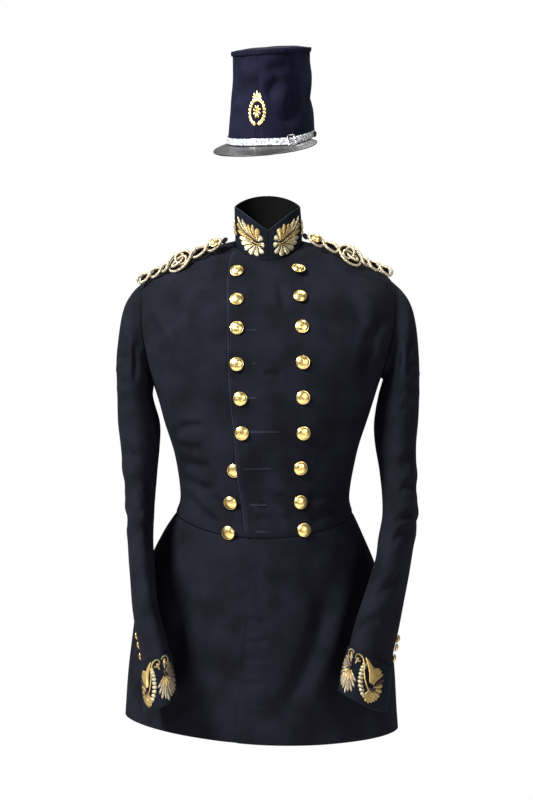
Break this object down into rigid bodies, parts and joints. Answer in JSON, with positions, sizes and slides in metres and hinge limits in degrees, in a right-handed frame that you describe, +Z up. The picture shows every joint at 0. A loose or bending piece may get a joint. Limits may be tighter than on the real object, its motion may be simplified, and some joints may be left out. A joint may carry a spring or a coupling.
{
  "type": "military officer uniform",
  "caption": "Officer's dark double-breasted frock coat with stand-up collar, gilt buttons, shoulder cords and gold-embroidered cuffs, with its peaked cloth shako above.",
  "frame": {"origin": "middle of the neck at the base of the collar, where the coat hangs from the wearer's shoulders", "axes": "+Z up, -Y towards the front of the coat, +X towards the wearer's left"},
  "size_m": [0.4979, 0.4201, 1.1653],
  "materials": {
    "navy_wool": "matt milled wool",
    "blue_black_cloth": "matt short-piled facing cloth",
    "dark_blue_felt": "matt felted cloth",
    "gilt_metal": "gilt, satin",
    "gold_bullion": "twisted metal thread",
    "patent_leather": "gloss black",
    "tan_leather": "matt"
  },
  "bodies": {
    "root": {"back_left": "navy_wool", "back_right": "navy_wool", "back_skirt_left": "navy_wool", "back_skirt_right": "navy_wool", "button_left_1": "gilt_metal", "button_left_2": "gilt_metal", "button_left_3": "gilt_metal", "button_left_4": "gilt_metal", "button_left_5": "gilt_metal", "button_left_6": "gilt_metal", "button_left_7": "gilt_metal", "button_left_8": "gilt_metal", "button_left_9": "gilt_metal", "button_right_1": "gilt_metal", "button_right_2": "gilt_metal", "button_right_3": "gilt_metal", "button_right_4": "gilt_metal", "button_right_5": "gilt_metal", "button_right_6": "gilt_metal", "button_right_7": "gilt_metal", "button_right_8": "gilt_metal", "button_right_9": "gilt_metal", "collar": "blue_black_cloth", "collar_spray_left": "gold_bullion", "collar_spray_right": "gold_bullion", "cuff_button_left_1": "gilt_metal", "cuff_button_left_2": "gilt_metal", "cuff_button_left_3": "gilt_metal", "cuff_button_right_1": "gilt_metal", "cuff_button_right_2": "gilt_metal", "cuff_button_right_3": "gilt_metal", "cuff_left": "blue_black_cloth", "cuff_right": "blue_black_cloth", "cuff_spray_left": "gold_bullion", "cuff_spray_right": "gold_bullion", "front_left": "navy_wool", "front_right": "navy_wool", "shako_badge": "gilt_metal", "shako_buckle": "gilt_metal", "shako_crown": "dark_blue_felt", "shako_headband": "tan_leather", "shako_peak": "patent_leather", "shako_rim": "dark_blue_felt", "shako_strap": "patent_leather", "shako_stud_left": "gilt_metal", "shako_stud_right": "gilt_metal", "shako_top": "dark_blue_felt", "shoulder_button_left": "gilt_metal", "shoulder_button_right": "gilt_metal", "shoulder_cord_left": "gold_bullion", "shoulder_cord_right": "gold_bullion", "side_body_left": "navy_wool", "side_body_right": "navy_wool", "skirt_left": "navy_wool", "skirt_right": "navy_wool", "sleeve_top_left": "navy_wool", "sleeve_top_right": "navy_wool", "sleeve_under_left": "navy_wool", "sleeve_under_right": "navy_wool"}
  },
  "joints": []
}
